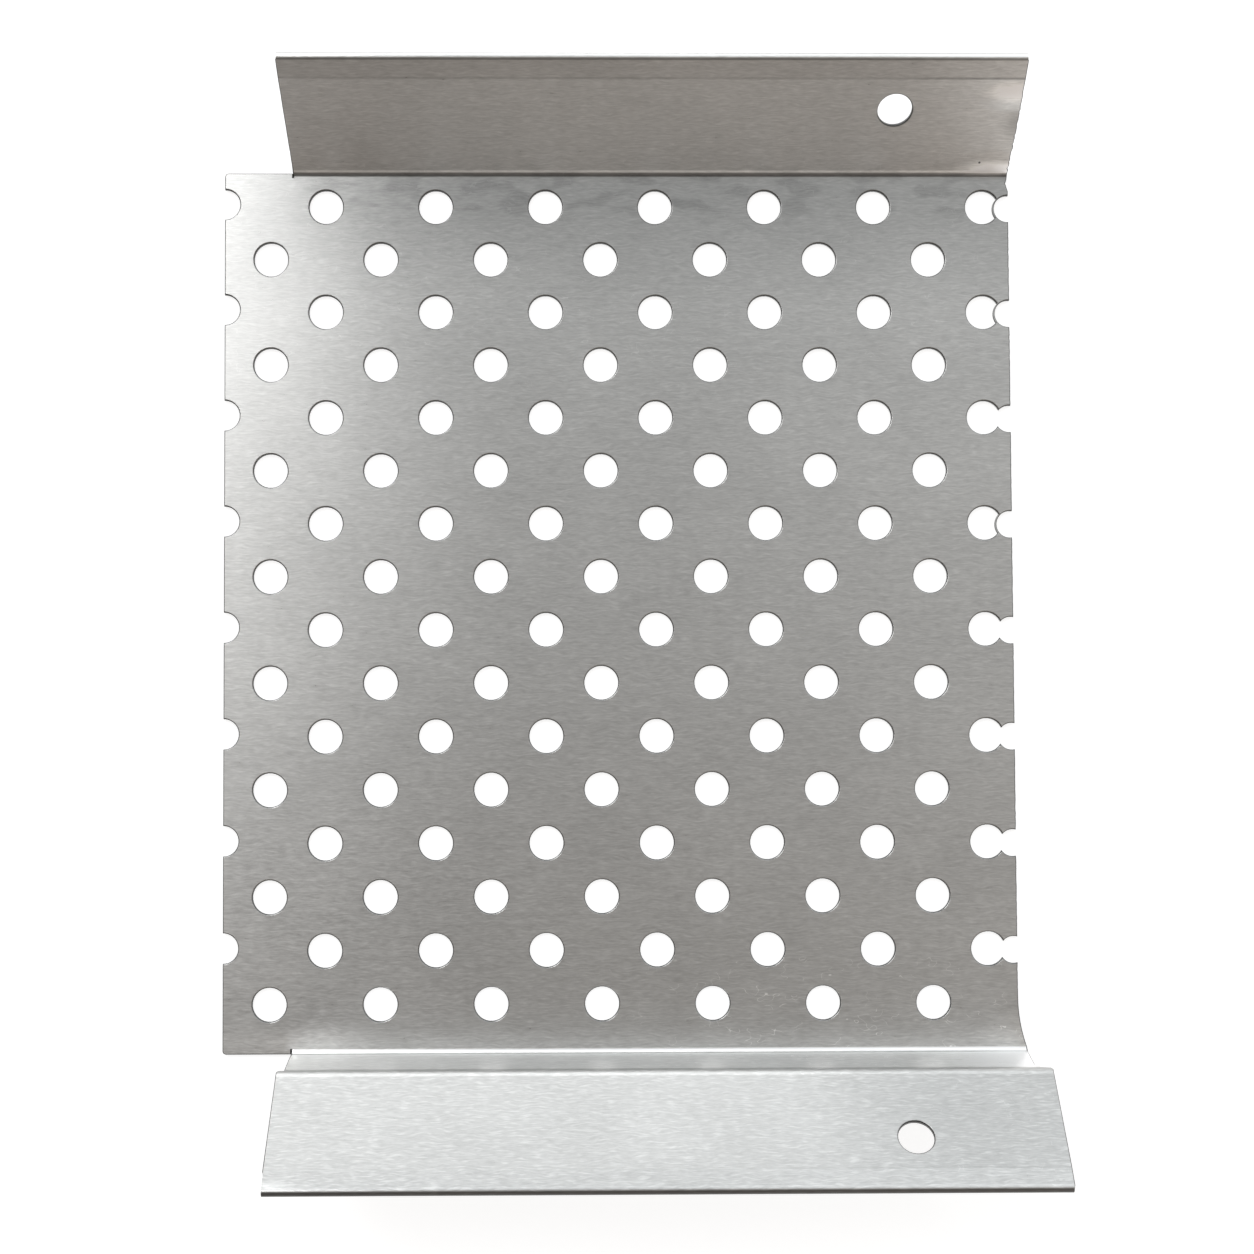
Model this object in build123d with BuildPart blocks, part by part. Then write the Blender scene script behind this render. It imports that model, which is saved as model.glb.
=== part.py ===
"""Perforated, brushed metal sheet with two folded flanges.

One sheet, bent from one blank. The flat web carries staggered rows of round holes.
One long edge is folded straight into a sloping flange; the other rises in a steep
riser first and then turns out into its flange. Both flanges end in a closed hem.

Frame: the web lies flat on XY with its underside at Z = 0 and its centre at the
origin. The plain flange is on +Y, the riser and its stepped flange are on -Y, and the
tab that runs past the left ends of both flanges is on -X. All sizes are in millimetres.
"""

from build123d import *
from math import asin, ceil, cos, degrees, floor, radians, sin, tan
import os

# ---- sheet --------------------------------------------------------------------
thickness = 1.0
bend_radius = 0.9  # inside radius of the folds at the riser
plain_bend_radius = 1.4  # inside radius of the plain flange's fold
hem_gap = 0.2  # daylight left inside a closed hem
hem_depth = 5.2  # how far a hem reaches back from the rim
hem_kick = 4.0  # degrees by which a flange eases over, along its hem
corner_radius = 0.8  # corners of the blank

# ---- web ----------------------------------------------------------------------
web_width = 182.2  # along X
web_height = 203.0  # along Y, from fold line to fold line
tab_length = 15.8  # web that stands past the left ends of both flanges
tab_reach = 0.25  # how far the tab's ends stand past the fold lines

# ---- perforation --------------------------------------------------------------
hole_diameter = 8.0
column_pitch = 25.4  # between neighbours in one row
row_pitch = 12.29
first_row_inset = 7.6  # from the plain flange's fold line
short_row_inset = 10.7  # from the left edge to the first hole of every second row
last_hole_margin = 5.0  # no hole is centred nearer than this to the far edges
left_notch_radius = 3.5
left_notch_rise = 0.6  # the left notches sit this far above their row
right_notch_radius = 3.1
right_notch_inset = 0.5  # from the right edge to the notch centre
right_notch_drop = 0.3  # the right notches sit this far below their row

# ---- plain flange, on +Y ------------------------------------------------------
plain_slope = 50.0  # degrees above the web
plain_slant = 29.2  # from fold line to rim
plain_screw_reach = 16.3  # from fold line to the screw hole's centre
plain_screw_inset = 28.5  # from the web's right edge

# ---- riser and stepped flange, on -Y ------------------------------------------
riser_slope = 84.5  # degrees above the web
riser_slant = 17.5  # from fold line to ridge
left_waist = 1.1  # how far the riser's left end leans in on its way up
right_waist = 1.4  # and its right end
stepped_slope = 40.4  # degrees above the web
stepped_slant = 29.6  # from ridge to rim
stepped_screw_reach = 17.0  # from ridge to the screw hole's centre
stepped_screw_inset = 28.0  # from the web's right edge
left_overhang = 0.5  # how far this flange stands past the riser's left foot
stepped_overhang = 4.2  # and past the web's right edge
flare_width = 2.3  # how far the web's right edge has swept out at the fold
flare_height = 12.0  # length of web edge over which it sweeps out

screw_diameter = 8.0

# ---- places worked out from the sizes -----------------------------------------
left_edge = -web_width / 2
right_edge = web_width / 2
fold_y = web_height / 2
flange_left = left_edge + tab_length
stepped_left = flange_left - left_overhang
stepped_right = right_edge + stepped_overhang
flare_right = right_edge + flare_width
hem_radius = thickness + hem_gap / 2  # of the sheet's outer face, round the rim
band_width = hem_depth - hem_radius  # flat part of the flange over its hem
turn_back = band_width - hem_gap  # flat part of the hem underneath
clear = 4 * thickness  # how far a cutter reaches past what it cuts


def rise(length, slope):
    """Height gained along a length measured up a slope."""
    return length * sin(radians(slope))


def run(length, slope):
    """Ground covered along a length measured up a slope."""
    return length * cos(radians(slope))


def setback(radius, turn):
    """Distance from a fold line to where its bend begins."""
    return radius * tan(radians(turn) / 2)


def copies(room, pitch):
    """How many holes, one pitch apart, fit between the first and the far edge."""
    return floor((room - last_hole_margin) / pitch) + 1


# Fold lines of the sheet's upper face
ridge_y = -fold_y - run(riser_slant, riser_slope)
ridge_z = thickness + rise(riser_slant, riser_slope)
ridge_turn = riser_slope - stepped_slope
ridge_radius = bend_radius + thickness  # the upper face is outside this bend

plain_setback = setback(plain_bend_radius, plain_slope)
riser_setback = setback(bend_radius, riser_slope)
ridge_setback = setback(ridge_radius, ridge_turn)
riser_end = riser_slant - ridge_setback  # where the ridge bend begins, up the riser

# The sheet's upper face on each slope: X along the fold, Y up the slope
plain_plane = Plane(
    (0, fold_y, thickness),
    x_dir=(1, 0, 0),
    z_dir=(0, -rise(1, plain_slope), run(1, plain_slope)),
)
riser_plane = Plane(
    (0, -fold_y, thickness),
    x_dir=(1, 0, 0),
    z_dir=(0, -rise(1, riser_slope), -run(1, riser_slope)),
)
stepped_plane = Plane(
    (0, ridge_y, ridge_z),
    x_dir=(1, 0, 0),
    z_dir=(0, -rise(1, stepped_slope), -run(1, stepped_slope)),
)

# The perforation fills the web: long-inset rows alternate with short-inset rows
long_row_inset = short_row_inset + column_pitch / 2
pair_pitch = 2 * row_pitch
row_count = copies(web_height - first_row_inset, row_pitch)
long_rows = ceil(row_count / 2)
short_rows = row_count - long_rows
long_holes = copies(web_width - long_row_inset, column_pitch)
short_holes = copies(web_width - short_row_inset, column_pitch)
first_row_y = fold_y - first_row_inset
long_middle_y = first_row_y - (long_rows - 1) * pair_pitch / 2
short_middle_y = first_row_y - row_pitch - (short_rows - 1) * pair_pitch / 2
long_middle_x = left_edge + long_row_inset + (long_holes - 1) * column_pitch / 2
short_middle_x = left_edge + short_row_inset + (short_holes - 1) * column_pitch / 2

with BuildPart() as perforated_sheet:
    # The bent section: its upper face, drawn fold by fold from the web outwards, and
    # the underside one thickness away from it
    with BuildSketch(Plane.YZ.offset(left_edge)):
        with BuildLine():
            web = Line(
                (-fold_y + riser_setback, thickness),
                (fold_y - plain_setback, thickness),
            )
            plain_fold = JernArc(web @ 1, web % 1, plain_bend_radius, plain_slope)
            plain_flange = PolarLine(
                plain_fold @ 1, plain_slant - plain_setback - hem_depth, plain_slope
            )
            plain_band = PolarLine(plain_flange @ 1, band_width, plain_slope - hem_kick)
            plain_rim = JernArc(plain_band @ 1, plain_band % 1, hem_radius, -180)
            PolarLine(plain_rim @ 1, turn_back, plain_slope - hem_kick + 180)

            riser_fold = JernArc(web @ 0, -(web % 0), bend_radius, -riser_slope)
            riser = PolarLine(
                riser_fold @ 1, riser_end - riser_setback, 180 - riser_slope
            )
            ridge = JernArc(riser @ 1, riser % 1, ridge_radius, ridge_turn)
            stepped_flange = PolarLine(
                ridge @ 1,
                stepped_slant - ridge_setback - hem_depth,
                180 - stepped_slope,
            )
            stepped_band = PolarLine(
                stepped_flange @ 1, band_width, 180 - stepped_slope + hem_kick
            )
            stepped_rim = JernArc(stepped_band @ 1, stepped_band % 1, hem_radius, 180)
            PolarLine(stepped_rim @ 1, turn_back, hem_kick - stepped_slope)
            offset(amount=thickness, side=Side.RIGHT)
        make_face()
    extrude(amount=stepped_right - left_edge)
    top_z = perforated_sheet.part.bounding_box().max.Z
    back_y = perforated_sheet.part.bounding_box().max.Y
    front_y = perforated_sheet.part.bounding_box().min.Y

    # The blank is cut back to the folds past the left ends of both flanges
    with BuildSketch(Plane.XY.offset(-clear)):
        with Locations((flange_left, fold_y - plain_setback)):
            Rectangle(
                tab_length + clear,
                back_y - fold_y + clear,
                align=(Align.MAX, Align.MIN),
            )
        with Locations((stepped_left, -fold_y + riser_setback)):
            Rectangle(
                tab_length + clear,
                -fold_y - front_y + clear,
                align=(Align.MAX, Align.MAX),
            )
    extrude(amount=top_z + 2 * clear, mode=Mode.SUBTRACT)

    # The web and the plain flange end flush on the right
    with BuildSketch(Plane.XY.offset(-clear)):
        with Locations((right_edge, -fold_y + flare_height)):
            Rectangle(
                stepped_overhang + clear,
                back_y + fold_y - flare_height + clear,
                align=(Align.MIN, Align.MIN),
            )
    extrude(amount=top_z + 2 * clear, mode=Mode.SUBTRACT)

    # Towards the riser the web's right edge sweeps out in a hollow curve
    flare_drop = flare_height - riser_setback
    flare_radius = (flare_drop**2 + flare_width**2) / (2 * flare_width)
    with BuildSketch(Plane.XY.offset(-clear)):
        with BuildLine():
            sweep_out = JernArc(
                (right_edge, -fold_y + flare_height),
                (0, -1),
                flare_radius,
                degrees(asin(flare_drop / flare_radius)),
            )
            Polyline(
                sweep_out @ 1,
                (flare_right, -fold_y - 2 * thickness),
                (stepped_right + clear, -fold_y - 2 * thickness),
                (stepped_right + clear, -fold_y + flare_height),
                sweep_out @ 0,
            )
        make_face()
    extrude(amount=clear + thickness + riser_setback, mode=Mode.SUBTRACT)

    # Both ends of the riser lean in below the ridge; the right one then runs out
    # into the flange's overhang on a fillet
    with BuildSketch(riser_plane):
        with BuildLine():
            waist_right = flare_right - right_waist
            lean = Line(
                (flare_right, riser_setback),
                (waist_right, riser_end - (stepped_right - waist_right)),
            )
            hollow = RadiusArc(
                lean @ 1,
                (stepped_right, riser_end),
                stepped_right - waist_right,
            )
            Polyline(
                hollow @ 1,
                (stepped_right + clear, riser_end),
                (stepped_right + clear, 0),
                (flare_right, 0),
                lean @ 0,
            )
        make_face()
        with BuildLine():
            Polyline(
                (flange_left, 0),
                (flange_left, riser_setback),
                (flange_left + left_waist, riser_end),
                (flange_left - clear, riser_end),
                (flange_left - clear, 0),
                close=True,
            )
        make_face()
    extrude(amount=2 * thickness, both=True, mode=Mode.SUBTRACT)

    # The tab stays flat right up to the fold lines
    with BuildSketch(Plane.XY):
        with Locations((left_edge, 0)):
            Rectangle(
                tab_length,
                web_height + 2 * tab_reach,
                align=(Align.MIN, Align.CENTER),
            )
    extrude(amount=thickness)

    # Corners of the tab
    tab_corners = (
        perforated_sheet.edges()
        .filter_by(Axis.Z)
        .group_by(Axis.X)[0]
    )
    fillet(tab_corners, corner_radius)

    # Two screw holes, square to their flanges
    with BuildSketch(plain_plane):
        with Locations((right_edge - plain_screw_inset, plain_screw_reach)):
            Circle(screw_diameter / 2)
    extrude(amount=2 * thickness, both=True, mode=Mode.SUBTRACT)
    with BuildSketch(stepped_plane):
        with Locations((right_edge - stepped_screw_inset, stepped_screw_reach)):
            Circle(screw_diameter / 2)
    extrude(amount=2 * thickness, both=True, mode=Mode.SUBTRACT)

    # The staggered perforation, and the notches that the long-inset rows leave in
    # both edges of the web
    with BuildSketch(Plane.XY):
        with Locations((long_middle_x, long_middle_y)):
            with GridLocations(column_pitch, pair_pitch, long_holes, long_rows):
                Circle(hole_diameter / 2)
        with Locations((short_middle_x, short_middle_y)):
            with GridLocations(column_pitch, pair_pitch, short_holes, short_rows):
                Circle(hole_diameter / 2)
        with Locations((left_edge, long_middle_y + left_notch_rise)):
            with GridLocations(0, pair_pitch, 1, long_rows):
                Circle(left_notch_radius)
        with Locations(
            (right_edge - right_notch_inset, long_middle_y - right_notch_drop)
        ):
            with GridLocations(0, pair_pitch, 1, long_rows):
                Circle(right_notch_radius)
    extrude(amount=2 * thickness, both=True, mode=Mode.SUBTRACT)

perforated_sheet.part.label = "perforated_sheet"
os.makedirs("parts", exist_ok=True)
export_step(perforated_sheet.part, "parts/perforated_sheet.step")
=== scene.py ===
"""Perforated, brushed metal sheet: its perforated blank, its bends, and its stage."""

import math

import bpy
from mathutils import Matrix, Vector, noise


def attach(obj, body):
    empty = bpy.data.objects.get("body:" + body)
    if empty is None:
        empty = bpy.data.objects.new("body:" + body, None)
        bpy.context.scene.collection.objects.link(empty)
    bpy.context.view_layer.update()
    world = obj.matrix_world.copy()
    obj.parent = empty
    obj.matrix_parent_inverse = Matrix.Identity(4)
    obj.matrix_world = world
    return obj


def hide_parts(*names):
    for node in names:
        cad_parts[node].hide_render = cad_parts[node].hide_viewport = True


bl_info = {
    "name": "Perforated Sheet",
    "version": (1, 0, 0),
    "blender": (4, 5, 0),
    "location": "View3D > Sidebar > Perforated Sheet",
    "description": "Punches, bends and dresses a perforated metal sheet and sets its stage",
    "category": "Object",
}

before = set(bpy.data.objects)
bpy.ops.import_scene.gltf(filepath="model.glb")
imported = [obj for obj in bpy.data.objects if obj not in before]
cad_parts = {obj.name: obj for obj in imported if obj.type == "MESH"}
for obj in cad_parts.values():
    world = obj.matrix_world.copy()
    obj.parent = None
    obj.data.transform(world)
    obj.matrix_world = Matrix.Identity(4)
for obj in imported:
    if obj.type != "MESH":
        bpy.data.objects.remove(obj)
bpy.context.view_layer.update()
MM = 0.001
SHEET_NODE = "perforated_sheet"


# ---- settings --------------------------------------------------------------------


def length_property(name, description, millimetres):
    """A length setting whose default is given in millimetres."""
    return bpy.props.FloatProperty(
        name=name,
        description=description,
        default=millimetres * MM,
        unit="LENGTH",
        precision=5,
    )


def angle_property(name, description, degrees):
    """An angle setting whose default is given in degrees."""
    return bpy.props.FloatProperty(
        name=name,
        description=description,
        default=math.radians(degrees),
        subtype="ANGLE",
    )


class SheetSettings(bpy.types.PropertyGroup):
    """Sizes of the blank, its folds and its perforation."""

    thickness: length_property("Thickness", "Gauge of the sheet", 1.0)
    edge_break: length_property("Edge Break", "Bevel on the sheared edges", 0.2)
    web_width: length_property("Web Width", "Width of the flat web along X", 182.2)
    web_depth: length_property("Web Depth", "Fold line to fold line along Y", 203.0)
    right_lean: length_property("Right Lean", "How far the right edge leans out", 0.38)
    tab: length_property("Tab", "Web that stands past the flanges' left ends", 15.8)
    tab_reach: length_property("Tab Reach", "The tab's ends past the fold lines", 0.25)

    plain_radius: length_property("Plain Bend", "Inside radius, plain fold", 1.4)
    plain_slope: angle_property("Plain Slope", "Plain flange above the web", 50.0)
    plain_slant: length_property("Plain Slant", "Fold line to rim", 29.2)
    riser_radius: length_property("Riser Bend", "Inside radius, riser folds", 0.9)
    riser_slope: angle_property("Riser Slope", "Riser above the web", 84.5)
    riser_slant: length_property("Riser Slant", "Fold line to ridge", 17.5)
    stepped_slope: angle_property("Stepped Slope", "Stepped flange above the web", 40.4)
    stepped_slant: length_property("Stepped Slant", "Ridge to rim", 29.6)
    left_overhang: length_property("Left Overhang", "Stepped flange past the riser", 0.5)
    overhang: length_property("Overhang", "Stepped flange past the web's right", 4.2)
    hem_depth: length_property("Hem Depth", "How far a hem reaches back", 5.2)
    hem_gap: length_property("Hem Gap", "Daylight left in a closed hem", 0.2)
    hem_kick: angle_property("Hem Kick", "How a flange eases over along its hem", 4.0)

    hole: length_property("Hole", "Diameter of the perforation", 8.0)
    rollover: length_property("Rollover", "Rounding at the punched side", 0.3)
    column_pitch: length_property("Column Pitch", "Between holes of one row", 25.4)
    row_pitch: length_property("Row Pitch", "Between rows", 12.29)
    first_row: length_property("First Row", "Plain fold line to the first row", 7.6)
    short_inset: length_property("Short Inset", "Left edge to a short row", 10.7)
    holes_in_row: bpy.props.IntProperty(
        name="Holes in Row", description="Holes in each row", default=7, min=1
    )
    row_pairs: bpy.props.IntProperty(
        name="Row Pairs", description="Pairs of staggered rows", default=8, min=1
    )
    left_notch: length_property("Left Notch", "Radius of the left notches", 3.5)
    left_notch_rise: length_property("Left Notch Rise", "Above their row", 0.6)
    right_notch: length_property("Right Notch", "Radius of the right notches", 3.1)
    right_notch_inset: length_property("Right Notch Inset", "Inside the edge", 0.5)
    right_notch_drop: length_property("Right Notch Drop", "Below their row", 0.3)
    sliver: length_property("Sliver", "Metal left between hole and notch", 0.32)
    plain_screw_reach: length_property("Plain Screw Reach", "From the fold line", 16.3)
    plain_screw_inset: length_property("Plain Screw Inset", "From the right edge", 28.5)
    stepped_screw_reach: length_property("Stepped Screw Reach", "From the ridge", 17.0)
    stepped_screw_inset: length_property("Stepped Screw Inset", "From the right edge", 28.0)


def colour_property(name, description, colour):
    """A colour setting, written as linear red, green and blue."""
    return bpy.props.FloatVectorProperty(
        name=name,
        description=description,
        default=(*colour, 1.0),
        size=4,
        subtype="COLOR",
        min=0.0,
    )


class LookSettings(bpy.types.PropertyGroup):
    """Colour and brushing of the metal."""

    metal: colour_property("Metal", "Bare brushed metal", (0.5, 0.5, 0.492))
    # the dull cut faces, made darker still as painted shade in the holes and on the rolled-over edges
    sheared: colour_property("Sheared Edge", "Dull walls of holes and cut edges", (0.05, 0.05, 0.049))
    roughness: bpy.props.FloatProperty(
        name="Roughness", description="Mean roughness of the brushing", default=0.3
    )
    anisotropy: bpy.props.FloatProperty(
        name="Anisotropy", description="How far reflections spread across the grain", default=0.82
    )
    dent: length_property("Dent", "Depth of the dents in the plain flange's right end", 0.25)


class StageSettings(bpy.types.PropertyGroup):
    """Camera, lamps and backdrop."""

    lens: bpy.props.FloatProperty(
        name="Lens",
        description="Focal length on a 36 mm sensor",
        default=53.1,
        min=10.0,
    )
    camera_height: length_property("Camera Height", "Above the floor", 426.9)
    camera_x: length_property("Camera X", "Right of the web's centre", -3.0)
    camera_y: length_property("Camera Y", "Behind the web's centre", -43.8)
    tilt: angle_property("Tilt", "Turn about X from looking straight down", 1.64)
    lean: angle_property("Lean", "Turn about Y from looking straight down", -0.63)
    roll: angle_property("Roll", "Turn about the camera's own axis", -0.16)
    shift_up: bpy.props.FloatProperty(
        name="Shift", description="Vertical lens shift", default=0.0958
    )
    floor_glow: bpy.props.FloatProperty(
        name="Floor Glow", description="White that the floor shows to the camera", default=0.8
    )
    front_tone: colour_property("Front Tone", "Surroundings in front", (0.47, 0.425, 0.388))
    overhead_tone: colour_property("Overhead Tone", "Surroundings above", (0.505, 0.5, 0.488))
    back_tone: colour_property("Back Tone", "Surroundings behind", (0.93, 0.96, 0.98))


# ---- node helpers ----------------------------------------------------------------


def new_node(tree, kind, values=None, **attributes):
    """A new node; a value that is a socket is linked, any other is set."""
    node = tree.nodes.new(kind)
    for name, value in attributes.items():
        setattr(node, name, value)
    for key, value in (values or {}).items():
        socket = node.inputs[key]
        if isinstance(key, str):
            socket = next(
                (s for s in node.inputs if s.name == key and s.enabled and not s.is_unavailable),
                socket,
            )
        if isinstance(value, bpy.types.NodeSocket):
            tree.links.new(value, socket)
        else:
            socket.default_value = value
    return node


def maths(tree, operation, first, second=0.0, third=0.0):
    """The output of a Math node."""
    node = new_node(
        tree, "ShaderNodeMath", {0: first, 1: second, 2: third}, operation=operation
    )
    return node.outputs[0]


def vector_maths(tree, operation, first, second=(0.0, 0.0, 0.0)):
    """The vector output of a Vector Math node."""
    node = new_node(tree, "ShaderNodeVectorMath", {0: first, 1: second}, operation=operation)
    return node.outputs[0]


def ranged(tree, value, low, high, to_low=0.0, to_high=1.0):
    """A value moved from one range to another, clamped."""
    node = new_node(
        tree, "ShaderNodeMapRange", {0: value, 1: low, 2: high, 3: to_low, 4: to_high}
    )
    return node.outputs[0]


def combined(tree, x=0.0, y=0.0, z=0.0):
    """A vector from three values."""
    return new_node(tree, "ShaderNodeCombineXYZ", {0: x, 1: y, 2: z}).outputs[0]


def plain_mesh(context, obj, name):
    """The evaluated object as a plain mesh, its modifiers gone."""
    evaluated = obj.evaluated_get(context.evaluated_depsgraph_get())
    mesh = bpy.data.meshes.new_from_object(evaluated)
    mesh.name = name
    obj.modifiers.clear()
    return mesh


def discard(*objects):
    """Remove helper objects and their data."""
    for obj in objects:
        data = obj.data
        store = bpy.data.curves if isinstance(data, bpy.types.Curve) else bpy.data.meshes
        bpy.data.objects.remove(obj)
        if data.users == 0:
            store.remove(data)


# ---- the folded section ----------------------------------------------------------


class Section:
    """The upper face of the folded section, walked outwards from the web's middle."""

    def __init__(self):
        self.y, self.z, self.heading, self.reach = 0.0, 0.0, 0.0, 0.0
        self.points = [(0.0, 0.0, 0.0)]

    def _step(self, distance):
        self.y += distance * math.cos(self.heading)
        self.z += distance * math.sin(self.heading)
        self.reach += distance
        self.points.append((self.reach, self.y, self.z))

    def forward(self, distance, pace=2.1 * MM):
        """Straight on, in steps of about one pace."""
        steps = max(1, round(distance / pace))
        for _ in range(steps):
            self._step(distance / steps)
        return self

    def turn(self, radius, angle, steps=7):
        """Round an arc; a positive angle turns upwards."""
        part = angle / steps
        for _ in range(steps):
            self.heading += part / 2
            self._step(2 * radius * math.sin(abs(part) / 2))
            self.heading += part / 2
        return self


def setback(radius, angle):
    """Distance from a fold line to where its bend begins."""
    return radius * math.tan(angle / 2)


def straying(y, per_metre, lane):
    """How far a sheared edge strays at a place along it, from -1 to 1."""
    return noise.noise((y * per_metre, lane, 0.0))


class FoldedSheet:
    """Section, blank outline and landmarks, worked out from the settings."""

    def __init__(self, s):
        self.s = s
        self.left, self.right = -s.web_width / 2, s.web_width / 2
        self.fold = s.web_depth / 2
        self.flange_left = self.left + s.tab
        hem_radius = s.thickness + s.hem_gap / 2
        band = s.hem_depth - hem_radius
        fine, finest = 1.5 * MM, 0.8 * MM
        crease_radius = 2 * MM
        # the crease's arc already covers this much of the band
        spent = 0.14 * MM

        plain = Section()
        first = setback(s.plain_radius, s.plain_slope)
        plain.forward(self.fold - first)
        self.tab_back = plain.reach
        plain.turn(s.plain_radius, s.plain_slope)
        self.plain_start = plain.reach - first
        plain.forward(s.plain_slant - first - s.hem_depth, fine)
        self.plain_crease = plain.reach
        plain.turn(crease_radius, -s.hem_kick, 2).forward(band - spent, finest)
        self.plain_rim = plain.reach
        plain.turn(hem_radius, -math.pi, 12).forward(band - s.hem_gap, fine)
        self.plain_end = plain.reach

        stepped = Section()
        first = setback(s.riser_radius, s.riser_slope)
        ridge_turn = s.riser_slope - s.stepped_slope
        ridge_radius = s.riser_radius + s.thickness
        second = setback(ridge_radius, ridge_turn)
        # the web eases up into the riser
        ease, ease_length = math.radians(4.0), 6 * MM
        lift = ease_length * ease / 2
        stepped.forward(self.fold - first - ease_length).turn(ease_length / ease, ease, 6)
        self.tab_front = -stepped.reach
        stepped.turn(s.riser_radius, s.riser_slope - ease, 9)
        self.riser_start = -stepped.reach
        stepped.forward(s.riser_slant - first - second - lift, fine)
        self.riser_end = -stepped.reach
        stepped.turn(ridge_radius, -ridge_turn)
        self.stepped_start = -(stepped.reach - second)
        self.ridge_top = -stepped.reach
        stepped.forward(s.stepped_slant - second - s.hem_depth, fine)
        self.stepped_crease = -stepped.reach
        stepped.turn(crease_radius, -s.hem_kick, 2).forward(band - spent, finest)
        self.stepped_rim = -stepped.reach
        stepped.turn(hem_radius, -math.pi, 12).forward(band - s.hem_gap, fine)
        self.stepped_end = -stepped.reach

        self.points = [(-reach, -y, z) for reach, y, z in reversed(stepped.points)]
        self.points += plain.points[1:]

    def outline(self):
        """The blank's edge in the flat, counter-clockwise: X and reach across the folds."""
        s = self.s
        stepped_left = self.flange_left - s.left_overhang
        stepped_right = self.right + s.overhang
        flare = self.right + 2.3 * MM
        waist = flare - 1.4 * MM
        left_waist = self.flange_left + 1.1 * MM
        corner, slit, round_off = 0.8 * MM, 0.1 * MM, 0.7 * MM
        rows = []

        def arc(cx, cy, radius, start, end, steps):
            for k in range(steps + 1):
                a = math.radians(start + (end - start) * k / steps)
                rows.append((cx + radius * math.cos(a), cy + radius * math.sin(a)))

        left, right = self.flange_left, self.right
        # stepped flange, from its turned-back left corner to the right
        rows += [(stepped_left, self.stepped_end), (stepped_right, self.stepped_end)]
        rows += [(stepped_right, self.stepped_rim), (stepped_right, self.stepped_crease)]
        arc(stepped_right - corner, self.riser_end - corner, corner, 0, 90, 4)
        hollow = stepped_right - corner - waist
        arc(stepped_right - corner, self.riser_end + hollow, hollow, 270, 180, 8)
        # the web's right edge sweeps in and is ragged, its corner nipped at the plain fold
        flare_to = -self.fold + 12 * MM
        sweep_steps, pace = 10, 0.8 * MM

        def web_right(y):
            return right + 0.08 * MM - s.right_lean * y / self.fold

        rows.append((flare, self.tab_front - 1.2 * MM))
        for k in range(sweep_steps + 1):
            y = self.tab_front + (flare_to - self.tab_front) * k / sweep_steps
            rows.append((web_right(y) + (flare - web_right(y)) * (1 - k / sweep_steps) ** 2, y))
        y = flare_to + pace
        while y < self.tab_back - 4 * MM:
            rows.append((web_right(y) - 0.14 * MM * abs(straying(y, 1700, 8.3)), y))
            y += pace
        rows.append((right - 0.3 * MM, self.tab_back - 3.2 * MM))
        rows.append((right - 0.9 * MM, self.tab_back - 1.3 * MM))
        rows.append((right - 0.6 * MM, self.tab_back - 0.4 * MM))
        # the plain flange's right edge is ragged
        y, deepest = self.tab_back, 0.4 * MM
        while y < self.plain_crease - 2.2 * MM:
            y += 0.55 * MM
            out = 0.66 * MM * (y - self.tab_back) / (self.plain_crease - self.tab_back)
            nick = deepest * abs(straying(y, 2100, 3.7))
            rows.append((right - deepest + min(out, deepest) - nick, y))
        rows += [(right - 0.05 * MM, self.plain_crease), (right, self.plain_rim)]
        lean = 0.5 * MM
        rows += [(right, self.plain_end), (left - lean, self.plain_end)]
        # its left edge less so, and it leans out towards the rim
        y = self.plain_rim
        while y > self.tab_back + 3 * MM:
            out = lean * (y - self.tab_back) / (self.plain_rim - self.tab_back)
            rows.append((left - out + 0.06 * MM * straying(y, 900, 9.1), y))
            y -= 1.6 * MM
        rows += [(left, self.tab_back), (left - slit, self.tab_back)]
        back, front = self.fold + s.tab_reach, -self.fold - s.tab_reach
        rows.append((left - slit, back))
        arc(self.left + corner, back - corner, corner, 90, 180, 5)
        arc(self.left + corner, front + corner, corner, 180, 270, 5)
        rows += [(left - slit, front), (left - slit, self.tab_front), (left, self.tab_front)]
        rows += [(left, self.riser_start), (left_waist, self.riser_end)]
        arc(stepped_left + round_off, self.riser_end - round_off, round_off, 90, 180, 4)
        rows.append((stepped_left, self.stepped_crease))
        return rows


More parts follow.
